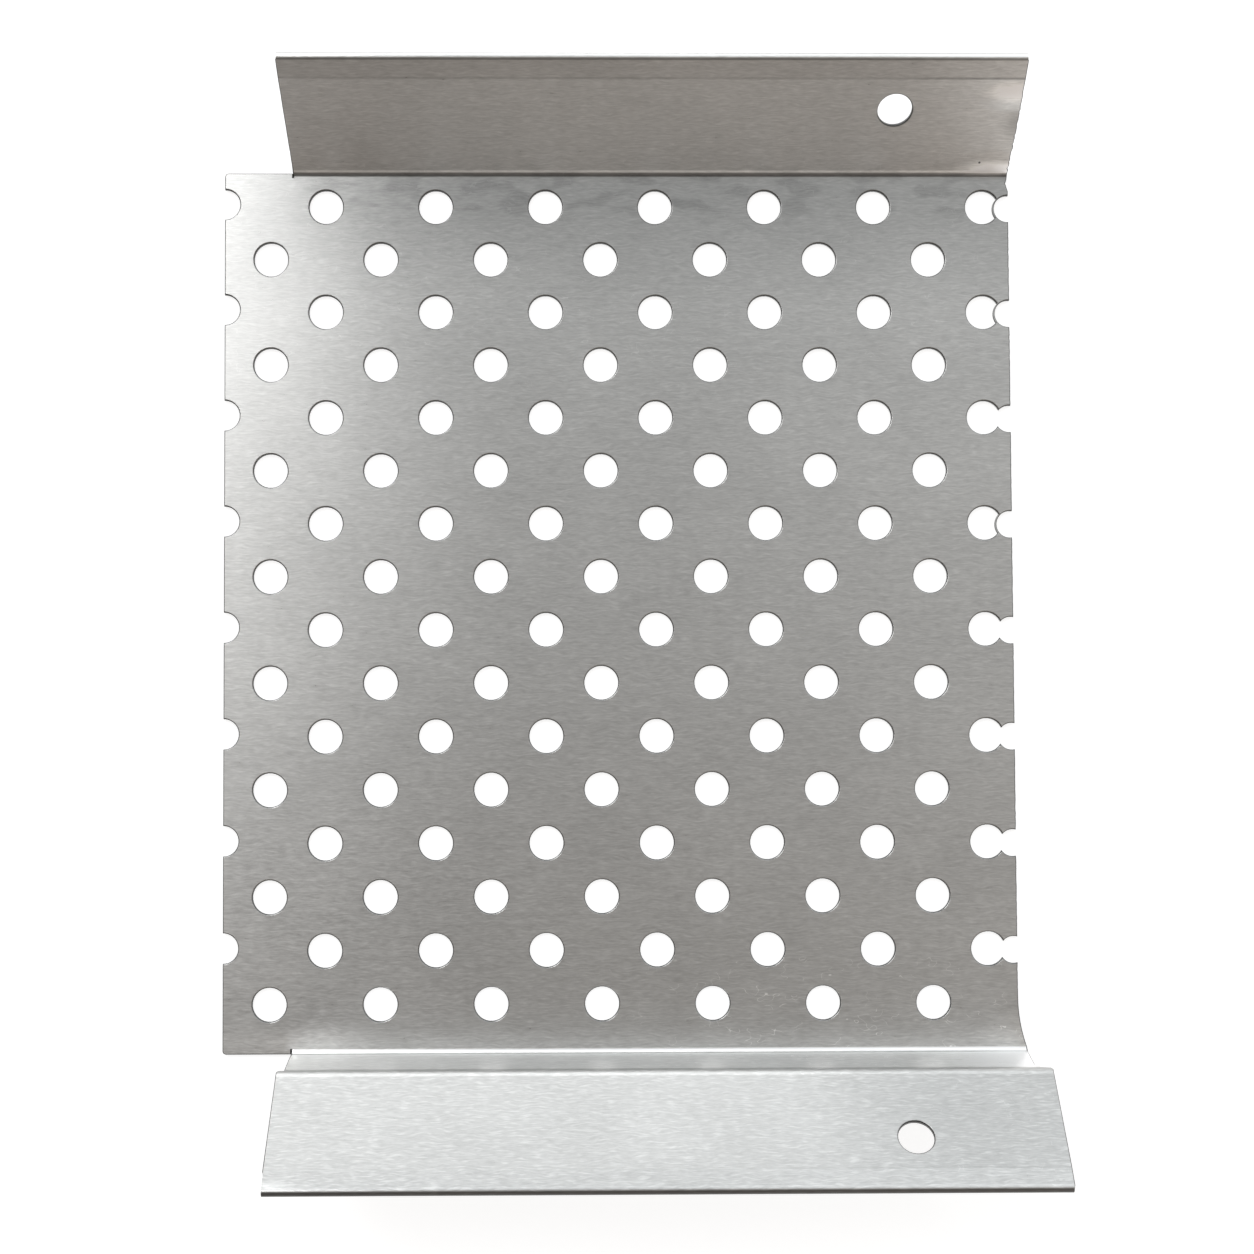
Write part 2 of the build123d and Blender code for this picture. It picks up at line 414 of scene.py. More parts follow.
def plate(folded):
    """The uncut blank: a grid with a row wherever the section has a point."""
    s = folded.s
    beside, beyond = 3 * MM, 2 * MM
    fine, coarse = 1.3 * MM, 2.6 * MM
    low, high = folded.left - beside, folded.right + s.overhang + beside
    columns, x = [low], low
    while x < high - 1.5 * MM:
        near_end = x < folded.flange_left + 12 * MM or x > folded.right - 22 * MM
        x += fine if near_end else coarse
        columns.append(x)
    rows = [point[0] for point in folded.points]
    rows = [rows[0] - beyond] + rows + [rows[-1] + beyond]
    mesh = bpy.data.meshes.new("blank")
    wide, deep = len(columns), len(rows)
    verts = [(x, y, z) for z in (0.0, s.thickness) for y in rows for x in columns]

    def at(i, j, k):
        return (k * deep + j) * wide + i

    faces = []
    for j in range(deep - 1):
        for i in range(wide - 1):
            faces.append((at(i, j, 1), at(i + 1, j, 1), at(i + 1, j + 1, 1), at(i, j + 1, 1)))
            faces.append((at(i, j, 0), at(i, j + 1, 0), at(i + 1, j + 1, 0), at(i + 1, j, 0)))
    for j in range(deep - 1):
        faces.append((at(0, j, 0), at(0, j, 1), at(0, j + 1, 1), at(0, j + 1, 0)))
        e = wide - 1
        faces.append((at(e, j, 0), at(e, j + 1, 0), at(e, j + 1, 1), at(e, j, 1)))
    for i in range(wide - 1):
        faces.append((at(i, 0, 0), at(i + 1, 0, 0), at(i + 1, 0, 1), at(i, 0, 1)))
        e = deep - 1
        faces.append((at(i, e, 0), at(i, e, 1), at(i + 1, e, 1), at(i + 1, e, 0)))
    mesh.from_pydata(verts, [], faces)
    return mesh


def ring_solid(name, rings):
    """A closed solid from rings of equal length, lowest first, capped at both ends."""
    mesh = bpy.data.meshes.new(name)
    count = len(rings[0])
    verts = [point for ring in rings for point in ring]
    faces = [tuple(reversed(range(count)))]
    for k in range(len(rings) - 1):
        for i in range(count):
            j = (i + 1) % count
            faces.append((k * count + i, k * count + j, (k + 1) * count + j, (k + 1) * count + i))
    faces.append(tuple((len(rings) - 1) * count + i for i in range(count)))
    mesh.from_pydata(verts, [], faces)
    return mesh


def punch(s, sides=32):
    """A punch one unit in radius where it shears, with its rollover above."""
    unit = s.hole / 2
    flare = s.rollover / unit
    t = s.thickness
    # the slug breaks away a little wider below, and the edge rolls over above
    breakout, land = 1.015, 0.12
    levels = [(-3 * t, breakout), (0.0, breakout), (land * t, 1.0)]
    arc_steps = 3
    for k in range(arc_steps + 1):
        a = math.radians(90 * k / arc_steps)
        levels.append((t - s.rollover * (1 - math.sin(a)), 1 + flare * (1 - math.cos(a))))
    levels.append((4 * t, 1 + flare))
    rings = []
    for z, radius in levels:
        rings.append(
            [
                (radius * math.cos(a), radius * math.sin(a), z)
                for a in (2 * math.pi * (i + 0.5) / sides for i in range(sides))
            ]
        )
    return ring_solid("punch", rings)


def die(folded):
    """The prism that shears the blank to its outline, with both edges broken."""
    rows = folded.outline()
    count = len(rows)

    def inset(amount):
        ring = []
        for i, (x, y) in enumerate(rows):
            before, after = rows[i - 1], rows[(i + 1) % count]
            a = Vector((x - before[0], y - before[1])).normalized()
            b = Vector((after[0] - x, after[1] - y)).normalized()
            normal = Vector((-(a.y + b.y), a.x + b.x))
            normal.normalize()
            # past a sharp corner the mitre is held back
            stretch = 1 / max(0.6, math.sqrt(max(0.0, (1 + a.dot(b)) / 2)))
            ring.append((x + normal.x * amount * stretch, y + normal.y * amount * stretch))
        return ring

    t, edge = folded.s.thickness, folded.s.edge_break
    levels = [(-2 * t, edge), (0.0, edge), (edge, 0.0), (t - edge, 0.0), (t, edge), (3 * t, edge)]
    rings = []
    for z, amount in levels:
        rings.append([(x, y, z) for x, y in inset(amount)])
    return ring_solid("die", rings)


def section_curve(folded):
    """The folded section as a curve in the YZ plane."""
    curve = bpy.data.curves.new("section", "CURVE")
    curve.dimensions = "3D"
    spline = curve.splines.new("POLY")
    spline.points.add(len(folded.points) - 1)
    for point, (_, y, z) in zip(spline.points, folded.points):
        point.co = (0.0, y, z, 1.0)
    return curve


def punch_grid(tree, tool, centre, pitch, across, down, radius):
    """Instances of the punch on a grid: its centre, pitch and counts are sockets."""
    grid = new_node(
        tree,
        "GeometryNodeMeshGrid",
        {
            "Size X": maths(tree, "MULTIPLY", pitch[0], maths(tree, "SUBTRACT", across, 1.0)),
            "Size Y": maths(tree, "MULTIPLY", pitch[1], maths(tree, "SUBTRACT", down, 1.0)),
            "Vertices X": across,
            "Vertices Y": down,
        },
    )
    moved = new_node(
        tree,
        "GeometryNodeTransform",
        {"Geometry": grid.outputs[0], "Translation": combined(tree, *centre)},
    )
    return new_node(
        tree,
        "GeometryNodeInstanceOnPoints",
        {
            "Points": moved.outputs[0],
            "Instance": tool,
            "Scale": combined(tree, radius, radius, 1.0),
        },
    ).outputs[0]


def sheet_tree():
    """Geometry nodes that shear the blank, punch it, bend it and lay out its grain."""
    tree = bpy.data.node_groups.new("punch_and_bend", "GeometryNodeTree")
    face = tree.interface
    face.new_socket("Geometry", in_out="OUTPUT", socket_type="NodeSocketGeometry")
    face.new_socket("Geometry", in_out="INPUT", socket_type="NodeSocketGeometry")
    for name in ("Die", "Punch", "Section"):
        face.new_socket(name, in_out="INPUT", socket_type="NodeSocketObject")
    face.new_socket("Material", in_out="INPUT", socket_type="NodeSocketMaterial")
    for name in ("Holes in Row", "Row Pairs"):
        face.new_socket(name, in_out="INPUT", socket_type="NodeSocketInt")
    for name in (
        "Thickness",
        "Hole Radius",
        "Column Pitch",
        "Row Pitch",
        "Long Row X",
        "Short Row X",
        "First Row Y",
        "Left Notch Radius",
        "Left Notch X",
        "Left Notch Rise",
        "Right Notch Radius",
        "Right Notch X",
        "Right Notch Drop",
        "Sliver",
        "Tab Right",
        "Tab Half Height",
        "Start Reach",
    ):
        face.new_socket(name, in_out="INPUT", socket_type="NodeSocketFloat")
    for name in ("Plain Screw", "Stepped Screw"):
        face.new_socket(name, in_out="INPUT", socket_type="NodeSocketVector")
    start = tree.nodes.new("NodeGroupInput")
    given = {socket.name: socket for socket in start.outputs}

    def geometry_of(name):
        return new_node(tree, "GeometryNodeObjectInfo", {"Object": given[name]}).outputs["Geometry"]

    # shear
    blank = new_node(
        tree,
        "GeometryNodeMeshBoolean",
        {"Mesh 2": given["Geometry"]},
        operation="INTERSECT",
        solver="MANIFOLD",
    )
    tree.links.new(geometry_of("Die"), blank.inputs["Mesh 2"])

    # punch
    tool = geometry_of("Punch")
    pair = maths(tree, "MULTIPLY", given["Row Pitch"], 2.0)
    half_down = maths(tree, "MULTIPLY", pair, maths(tree, "SUBTRACT", given["Row Pairs"], 1.0))
    half_down = maths(tree, "MULTIPLY", half_down, 0.5)
    half_across = maths(
        tree, "MULTIPLY", given["Column Pitch"], maths(tree, "SUBTRACT", given["Holes in Row"], 1.0)
    )
    half_across = maths(tree, "MULTIPLY", half_across, 0.5)
    long_y = maths(tree, "SUBTRACT", given["First Row Y"], half_down)
    short_y = maths(tree, "SUBTRACT", long_y, given["Row Pitch"])
    pitch = (given["Column Pitch"], pair)
    one = new_node(tree, "FunctionNodeInputInt", integer=1).outputs[0]
    rows = [
        punch_grid(
            tree,
            tool,
            (maths(tree, "ADD", given[name], half_across), y),
            pitch,
            given["Holes in Row"],
            given["Row Pairs"],
            given["Hole Radius"],
        )
        for name, y in (("Long Row X", long_y), ("Short Row X", short_y))
    ]

    def edge_cuts(x, y, radius):
        """Cuts down one edge, one to each pair of rows."""
        return punch_grid(tree, tool, (x, y), pitch, one, given["Row Pairs"], radius)

    left_y = maths(tree, "ADD", long_y, given["Left Notch Rise"])
    right_y = maths(tree, "SUBTRACT", long_y, given["Right Notch Drop"])
    left_notches = edge_cuts(given["Left Notch X"], left_y, given["Left Notch Radius"])
    right_notches = edge_cuts(given["Right Notch X"], right_y, given["Right Notch Radius"])
    size = combined(tree, given["Hole Radius"], given["Hole Radius"], 1.0)
    screws = [
        new_node(
            tree,
            "GeometryNodeTransform",
            {"Geometry": tool, "Translation": given[name], "Scale": size},
        ).outputs[0]
        for name in ("Plain Screw", "Stepped Screw")
    ]

    # some back rows keep a sliver of metal between the last hole and its notch
    index = new_node(tree, "GeometryNodeInputIndex").outputs[0]
    front = new_node(
        tree,
        "FunctionNodeCompare",
        {"A": index, "B": 3.5},
        data_type="FLOAT",
        operation="LESS_THAN",
    )
    third = new_node(
        tree,
        "FunctionNodeCompare",
        {"A": index, "B": 5.0, "Epsilon": 0.1},
        data_type="FLOAT",
        operation="EQUAL",
    )
    torn = new_node(
        tree, "FunctionNodeBooleanMath", {0: front.outputs[0], 1: third.outputs[0]}, operation="OR"
    )
    guarded = maths(tree, "ADD", given["Right Notch Radius"], given["Sliver"])
    guards = new_node(
        tree,
        "GeometryNodeDeleteGeometry",
        {
            "Geometry": edge_cuts(given["Right Notch X"], right_y, guarded),
            "Selection": torn.outputs[0],
        },
        domain="INSTANCE",
    )
    guards = new_node(
        tree,
        "GeometryNodeTransform",
        {"Geometry": guards.outputs[0], "Scale": (1.0, 1.0, 1.6)},
    )

    def solid(parts):
        joined = new_node(tree, "GeometryNodeJoinGeometry")
        for part in parts:
            tree.links.new(part, joined.inputs[0])
        return new_node(
            tree, "GeometryNodeRealizeInstances", {"Geometry": joined.outputs[0]}
        ).outputs[0]

    def minus(whole, part):
        return new_node(
            tree,
            "GeometryNodeMeshBoolean",
            {"Mesh 1": whole, "Mesh 2": part},
            operation="DIFFERENCE",
            solver="MANIFOLD",
        ).outputs[0]

    round_cuts = minus(solid(rows + screws), solid([guards.outputs[0]]))
    punched = minus(minus(blank.outputs[0], round_cuts), solid([left_notches, right_notches]))

    # crisp edges wherever a flat side of the blank meets a sheared or rolled one
    normal = new_node(tree, "GeometryNodeInputNormal").outputs[0]
    upright = new_node(tree, "ShaderNodeSeparateXYZ", {0: normal}).outputs[2]
    flat = maths(tree, "GREATER_THAN", maths(tree, "ABSOLUTE", upright), 0.999)
    flat = new_node(
        tree, "GeometryNodeFieldOnDomain", {"Value": flat}, domain="FACE", data_type="FLOAT"
    ).outputs[0]
    share = new_node(
        tree, "GeometryNodeFieldOnDomain", {"Value": flat}, domain="EDGE", data_type="FLOAT"
    ).outputs[0]
    some, not_all = maths(tree, "GREATER_THAN", share, 0.1), maths(tree, "LESS_THAN", share, 0.9)
    border = maths(tree, "MULTIPLY", some, not_all)
    angle = new_node(tree, "GeometryNodeInputMeshEdgeAngle").outputs[0]
    crisp = maths(tree, "MAXIMUM", border, maths(tree, "GREATER_THAN", angle, 0.7))
    marked = new_node(
        tree,
        "GeometryNodeStoreNamedAttribute",
        {"Geometry": punched, "Name": "sharp_edge", "Value": crisp},
        data_type="BOOLEAN",
        domain="EDGE",
    )
    smooth = new_node(tree, "GeometryNodeSetShadeSmooth", {"Geometry": marked.outputs[0]})

    # painted shade over the dull sheared faces: darkest where the edge rolls over, less so down the
    # wall
    level = maths(tree, "ABSOLUTE", upright)
    dark = maths(
        tree,
        "MULTIPLY",
        ranged(tree, level, 0.995, 0.9),
        ranged(tree, level, 0.1, 0.3, 0.85, 1.0),
    )
    sheared = new_node(
        tree,
        "GeometryNodeStoreNamedAttribute",
        {"Geometry": smooth.outputs[0], "Name": "sheared", "Value": dark},
        data_type="FLOAT",
        domain="FACE",
    )

    # the grain's own map: U along the folds and V across them, under side beside upper
    position = new_node(tree, "GeometryNodeInputPosition").outputs[0]
    xyz = new_node(tree, "ShaderNodeSeparateXYZ", {0: position}).outputs
    under = maths(tree, "LESS_THAN", upright, 0.0)
    map_per_metre = 2.4
    u = maths(tree, "MULTIPLY_ADD", xyz[0], map_per_metre, 0.25)
    u = maths(tree, "ADD", u, maths(tree, "MULTIPLY", under, 0.5))
    v = maths(tree, "MULTIPLY_ADD", xyz[1], map_per_metre, 0.5)
    mapped = new_node(
        tree,
        "GeometryNodeStoreNamedAttribute",
        {
            "Geometry": sheared.outputs[0],
            "Name": "UVMap",
            "Value": combined(tree, u, v),
        },
        data_type="FLOAT2",
        domain="CORNER",
    )
    flat_place = new_node(
        tree,
        "GeometryNodeStoreNamedAttribute",
        {"Geometry": mapped.outputs[0], "Name": "blank", "Value": position},
        data_type="FLOAT_VECTOR",
        domain="POINT",
    )

    # bend: each row of the blank goes to its place on the section
    along = new_node(
        tree,
        "GeometryNodeSampleCurve",
        {
            "Curves": geometry_of("Section"),
            "Length": maths(tree, "SUBTRACT", xyz[1], given["Start Reach"]),
        },
        mode="LENGTH",
    )
    out = vector_maths(tree, "CROSS_PRODUCT", (1.0, 0.0, 0.0), along.outputs["Tangent"])
    out = vector_maths(tree, "NORMALIZE", out)
    lift = new_node(
        tree,
        "ShaderNodeVectorMath",
        {0: out, "Scale": maths(tree, "SUBTRACT", xyz[2], given["Thickness"])},
        operation="SCALE",
    )
    base = vector_maths(tree, "ADD", along.outputs["Position"], lift.outputs[0])
    base = vector_maths(tree, "ADD", base, combined(tree, xyz[0]))
    # the tab stays flat past the fold lines, where a slit parts it from the flanges
    bends = maths(
        tree,
        "MAXIMUM",
        maths(tree, "GREATER_THAN", xyz[0], given["Tab Right"]),
        maths(tree, "GREATER_THAN", maths(tree, "ABSOLUTE", xyz[1]), given["Tab Half Height"]),
    )
    bent = new_node(
        tree,
        "GeometryNodeSetPosition",
        {
            "Geometry": flat_place.outputs[0],
            "Selection": bends,
            "Position": base,
            "Offset": combined(tree, z=given["Thickness"]),
        },
    )
    real = new_node(tree, "GeometryNodeRealizeInstances", {"Geometry": bent.outputs[0]})
    dressed = new_node(
        tree,
        "GeometryNodeSetMaterial",
        {"Geometry": real.outputs[0], "Material": given["Material"]},
    )
    end = tree.nodes.new("NodeGroupOutput")
    tree.links.new(dressed.outputs[0], end.inputs[0])
    return tree


# ---- materials -------------------------------------------------------------------


def cloud(tree, place, pitch, detail=2.0, roughness=0.5):
    """Flat noise around 0.5, of about the given pitch in millimetres along and across."""
    node = new_node(
        tree,
        "ShaderNodeTexNoise",
        {
            "Vector": vector_maths(tree, "MULTIPLY", place, (1 / pitch[0], 1 / pitch[1], 1.0)),
            "Scale": 1.0,
            "Detail": detail,
            "Roughness": roughness,
        },
        noise_dimensions="2D",
    )
    return node.outputs[0]


def band(tree, value, low, high, soft):
    """One between two limits, easing to nothing over a softness outside them."""
    middle, half = (low + high) / 2, (high - low) / 2
    away = maths(tree, "ABSOLUTE", maths(tree, "SUBTRACT", value, middle))
    return ranged(tree, away, half + soft, half)


def spot(tree, place, centre, radii):
    """A soft round hill, one in its middle and nothing at its radii."""
    away = new_node(
        tree,
        "ShaderNodeVectorMath",
        {
            0: place,
            1: (1 / radii[0], 1 / radii[1], 0.0),
            2: (-centre[0] / radii[0], -centre[1] / radii[1], 0.0),
        },
        operation="MULTIPLY_ADD",
    ).outputs[0]
    square = new_node(tree, "ShaderNodeVectorMath", {0: away, 1: away}, operation="DOT_PRODUCT")
    hill = ranged(tree, square.outputs["Value"], 1.0, 0.0)
    return maths(tree, "MULTIPLY", hill, hill)


def mm(length):
    """A length in metres as millimetres."""
    return length / MM


def wear_and_painted_light(tree, place, folded, stain, blotch_noise, streak, hair):
    """Pairs: where the metal is lighter or darker, and by how much: real stains, streaks and
    hairlines, and painted highlights and painted shade at folds, rims and ends.
    """
    x, y, _ = new_node(tree, "ShaderNodeSeparateXYZ", {0: place}).outputs

    def both(first, second):
        return maths(tree, "MULTIPLY", first, second)

    def strip(low, high, soft):
        return band(tree, y, low, high, soft)

    def towards(low, high, to_low=0.0, to_high=1.0):
        return ranged(tree, x, low, high, to_low, to_high)

    def beyond(low, high, to_low=0.0, to_high=1.0):
        return ranged(tree, y, low, high, to_low, to_high)

    # a soft round patch, used mostly for painted highlights, also for painted shade and one dark
    # speck
    def round_patch(centre, radii):
        return spot(tree, place, centre, radii)

    fold, crease, rim = mm(folded.plain_start), mm(folded.plain_crease), mm(folded.plain_rim)
    web_back, web_front = mm(folded.tab_back), mm(folded.tab_front)
    foot, head, ridge = mm(folded.riser_start), mm(folded.riser_end), mm(folded.ridge_top)
    step, far = mm(folded.stepped_crease), mm(folded.stepped_rim)
    left = mm(folded.flange_left)
    plain = maths(tree, "GREATER_THAN", y, fold)
    stepped = maths(tree, "LESS_THAN", y, mm(folded.stepped_start))
    flange = towards(left - 0.3, left + 0.3)
    # painted shade along the web by the plain fold, broken into blotches
    fold_shade_blotches = both(strip(94.0, web_back, 5.0), ranged(tree, blotch_noise, 0.5, 0.66))
    riser = strip(head, foot, 0.3)
    # stains, brushing streaks and hairlines of the metal itself, then painted shade by the plain fold
    soil_and_shade = (
        (ranged(tree, stain, 0.3, 0.7), 0.06),
        (streak, maths(tree, "MULTIPLY_ADD", stepped, 0.06, 0.08)),
        (both(hair, both(towards(-15.0, 30.0), strip(-112.0, -84.0, 9.0))), 0.5),
        (both(hair, both(towards(30.0, 80.0), stepped)), 0.15),
        (both(hair, strip(60.0, web_back, 20.0)), 0.14),
        # painted shade in blotches by the plain fold
        (both(fold_shade_blotches, flange), -0.16),
        # painted shade over the web's back rows beside the plain flange
        (both(strip(95.0, web_back, 24.0), towards(-88.0, -58.0)), -0.25),
    )
    # painted shade in the plain fold's inside bend, and a painted highlight line just above it
    plain_fold_shade_and_highlight = (
        (both(strip(fold - 0.25, fold + 0.3, 0.3), flange), -0.6),
        (strip(fold + 0.75, fold + 1.0, 0.25), 0.55),
    )
    # painted highlights: lighter towards the fold and the battered right end, with bright patches
    # over its dents, a patch of painted shade and one dark speck
    plain_flange_light_and_speck = (
        (both(plain, beyond(125.0, 103.0, 0.2, 1.0)), 0.22),
        (both(plain, towards(66.0, 92.0)), 0.3),
        (round_patch((89.0, 122.2), (9.0, 3.6)), 0.7),
        (round_patch((86.5, 103.0), (10.0, 2.6)), 0.9),
        (round_patch((91.5, 114.5), (6.0, 5.5)), -0.3),
        (round_patch((83.7, 104.6), (0.4, 0.4)), -1.0),
    )
    # painted shade on the hem band and in its crease, deeper towards the right, and a painted dark
    # line and painted highlight along the rounded rim
    deeper_crease_shade = maths(tree, "MULTIPLY_ADD", towards(55.0, 82.0), -0.25, -0.16)
    plain_hem_shade_and_highlight = (
        (both(plain, beyond(crease - 0.2, crease + 0.2)), -0.1),
        (strip(crease - 0.15, crease + 0.1, 0.25), deeper_crease_shade),
        (strip(rim + 0.15, rim + 0.4, 0.2), -0.5),
        (strip(rim + 0.9, rim + 1.4, 0.3), 0.9),
    )
    # painted highlights along both folds, on the riser and at both ends, and painted shade in lines
    # at the riser's foot and head and over its left end
    riser_light_and_shade = (
        (strip(web_front + 0.2, web_front + 1.6, 3.5), 0.14),
        (round_patch((-69.0, web_front + 2.5), (15.0, 5.0)), 0.22),
        (round_patch((90.0, web_front + 3.0), (11.0, 7.0)), 0.3),
        (both(strip(foot + 0.35, foot + 1.2, 0.25), flange), 1.1),
        (strip(foot - 0.5, foot - 0.1, 0.4), -0.25),
        (strip(head, foot - 1.0, 0.5), 0.5),
        (both(riser, towards(-40.0, -80.0)), -0.15),
        (both(riser, towards(66.0, 90.0)), 0.5),
        (strip(head - 0.2, head + 0.5, 0.4), -0.3),
    )
    # painted shade in the stepped hem's crease, deeper towards the right; painted highlights past the
    # ridge, on the hem band, at the rim's left end and along the rim, and a painted dark line past
    # the rim
    stepped_crease_shade = maths(tree, "MULTIPLY", towards(-40.0, 80.0), -0.09)
    stepped_hem_light_and_shade = (
        (strip(ridge - 0.5, ridge - 0.1, 0.25), 0.25),
        (beyond(step + 0.2, step - 0.2), 0.1),
        (round_patch((-73.5, far + 0.7), (6.0, 1.6)), 0.3),
        (strip(step - 0.1, step + 0.15, 0.2), stepped_crease_shade),
        (strip(far - 0.2, far + 0.2, 0.2), 0.16),
        (strip(far - 1.75, far - 0.8, 0.35), -0.75),
    )
    return soil_and_shade + plain_fold_shade_and_highlight + plain_flange_light_and_speck + plain_hem_shade_and_highlight + riser_light_and_shade + stepped_hem_light_and_shade


def brushed_metal(look, folded):
    """Brushed sheet metal: grain along X, laid out on the flat blank in millimetres."""
    material = bpy.data.materials.new("brushed_metal")
    material.use_nodes = True
    tree = material.node_tree
    shader = tree.nodes["Principled BSDF"]
    blank = new_node(tree, "ShaderNodeAttribute", attribute_name="blank").outputs["Vector"]
    place = vector_maths(tree, "MULTIPLY", blank, (1 / MM, 1 / MM, 1 / MM))
    x, y, _ = new_node(tree, "ShaderNodeSeparateXYZ", {0: place}).outputs

    # the strokes wander a little instead of running dead straight
    sway = maths(tree, "SUBTRACT", cloud(tree, place, (5.0, 2.2), 0.0), 0.5)
    wavy = combined(tree, x, maths(tree, "ADD", y, maths(tree, "MULTIPLY", sway, 0.9)))
    fine = maths(tree, "MULTIPLY", cloud(tree, wavy, (2.4, 0.36), 2.0, 0.6), 0.7)
    broad = maths(tree, "MULTIPLY", cloud(tree, wavy, (9.0, 1.2), 1.0, 0.5), 0.3)
    grain = maths(tree, "ADD", fine, broad)
    streak = ranged(tree, cloud(tree, wavy, (3.2, 0.42), 1.0, 0.6), 0.52, 0.68)
    stain = cloud(tree, place, (30.0, 22.0), 1.0, 0.55)
    blotch_noise = cloud(tree, place, (9.0, 4.0), 1.0, 0.6)

    # short curled hairlines, in patches
    curl = maths(tree, "SUBTRACT", cloud(tree, place, (4.2, 2.6), 1.0, 0.6), 0.5)
    line = ranged(tree, maths(tree, "ABSOLUTE", curl), 0.009, 0.003)
    hair = maths(tree, "MULTIPLY", line, ranged(tree, blotch_noise, 0.55, 0.6))

    tone = ranged(tree, grain, 0.32, 0.68, 0.9, 1.11)
    # grain first, then real stains, streaks and hairlines, and the painted highlights and painted
    # shade
    for mask, amount in wear_and_painted_light(tree, place, folded, stain, blotch_noise, streak, hair):
        tone = maths(tree, "MULTIPLY", tone, maths(tree, "MULTIPLY_ADD", mask, amount, 1.0))
    colour = new_node(
        tree, "ShaderNodeVectorMath", {0: look.metal[:3], "Scale": tone}, operation="SCALE"
    )
    # the dull sheared faces, darkened further as painted shade in the holes and on the rolled-over
    # edges
    sheared = new_node(tree, "ShaderNodeAttribute", attribute_name="sheared").outputs["Fac"]
    colour = new_node(
        tree,
        "ShaderNodeMix",
        {"Factor": sheared, "A": colour.outputs[0], "B": look.sheared},
        data_type="RGBA",
    )
    tree.links.new(colour.outputs[2], shader.inputs["Base Color"])
    shader.inputs["Metallic"].default_value = 1.0
    unevenness = 0.1
    roughness = maths(
        tree, "MULTIPLY_ADD", grain, unevenness, look.roughness - unevenness / 2
    )
    tree.links.new(roughness, shader.inputs["Roughness"])
    shader.inputs["Anisotropic"].default_value = look.anisotropy
    shader.inputs["Anisotropic Rotation"].default_value = 0.25
    tangent = new_node(tree, "ShaderNodeTangent", direction_type="UV_MAP", uv_map="UVMap")
    tree.links.new(tangent.outputs[0], shader.inputs["Tangent"])

    # two shallow dents by the plain flange's right end
    near_hem = spot(tree, place, (89.0, 121.0), (9.0, 4.0))
    near_fold = spot(tree, place, (86.0, 104.0), (9.0, 4.0))
    dented = new_node(
        tree,
        "ShaderNodeBump",
        {
            "Strength": 1.0,
            "Distance": look.dent,
            "Height": maths(tree, "ADD", near_hem, near_fold),
        },
    )
    tree.links.new(dented.outputs[0], shader.inputs["Normal"])
    return material


def floor_paper(settings):
    """Pale floor that shows white where it is lit and keeps the sheet's shadow."""
    material = bpy.data.materials.new("floor_paper")
    material.use_nodes = True
    tree = material.node_tree
    tree.nodes.clear()
    out = new_node(tree, "ShaderNodeOutputMaterial")
    path = new_node(tree, "ShaderNodeLightPath").outputs
    seen = maths(tree, "MAXIMUM", path["Is Camera Ray"], path["Is Glossy Ray"])
    seen = maths(tree, "MAXIMUM", seen, path["Is Transmission Ray"])
    pale = 0.4
    paper = new_node(tree, "ShaderNodeBsdfDiffuse", {"Color": (pale, pale, pale, 1.0)})
    glow = new_node(
        tree,
        "ShaderNodeEmission",
        {"Strength": maths(tree, "MULTIPLY", seen, settings.floor_glow)},
    )
    surface = new_node(tree, "ShaderNodeAddShader", {0: paper.outputs[0], 1: glow.outputs[0]})
    tree.links.new(surface.outputs[0], out.inputs["Surface"])
    return material


def studio_world(settings):
    """Soft studio surroundings: pale behind, dim and warm in front, mid grey above."""
    world = bpy.data.worlds.new("studio")
    world.use_nodes = True
    tree = world.node_tree
    background = tree.nodes["Background"]
    way = new_node(tree, "ShaderNodeTexCoord").outputs["Generated"]
    x, y, _ = new_node(tree, "ShaderNodeSeparateXYZ", {0: way}).outputs
    colour = settings.front_tone
    for low, high, tone in (
        (-0.22, 0.2, settings.overhead_tone),
        (0.05, 0.55, settings.back_tone),
    ):
        colour = new_node(
            tree,
            "ShaderNodeMix",
            {"Factor": ranged(tree, y, low, high), "A": colour, "B": tone},
            data_type="RGBA",
        ).outputs[2]
    # plain white where the camera looks past the floor
    seen = new_node(tree, "ShaderNodeLightPath").outputs["Is Camera Ray"]
    shown = new_node(
        tree,
        "ShaderNodeMix",
        {"Factor": seen, "A": colour, "B": (1.0, 1.0, 1.0, 1.0)},
        data_type="RGBA",
    ).outputs[2]
    tree.links.new(shown, background.inputs["Color"])
    # a little brighter to the right, and shaded straight overhead
    shade = band(tree, y, -0.28, -0.06, 0.14)
    side = ranged(tree, x, -0.4, 0.4, 0.62, 1.38)
    strength = maths(tree, "MULTIPLY", side, maths(tree, "MULTIPLY_ADD", shade, -0.3, 1.0))
    tree.links.new(maths(tree, "MAXIMUM", strength, seen), background.inputs["Strength"])
    return world


# ---- operators -------------------------------------------------------------------


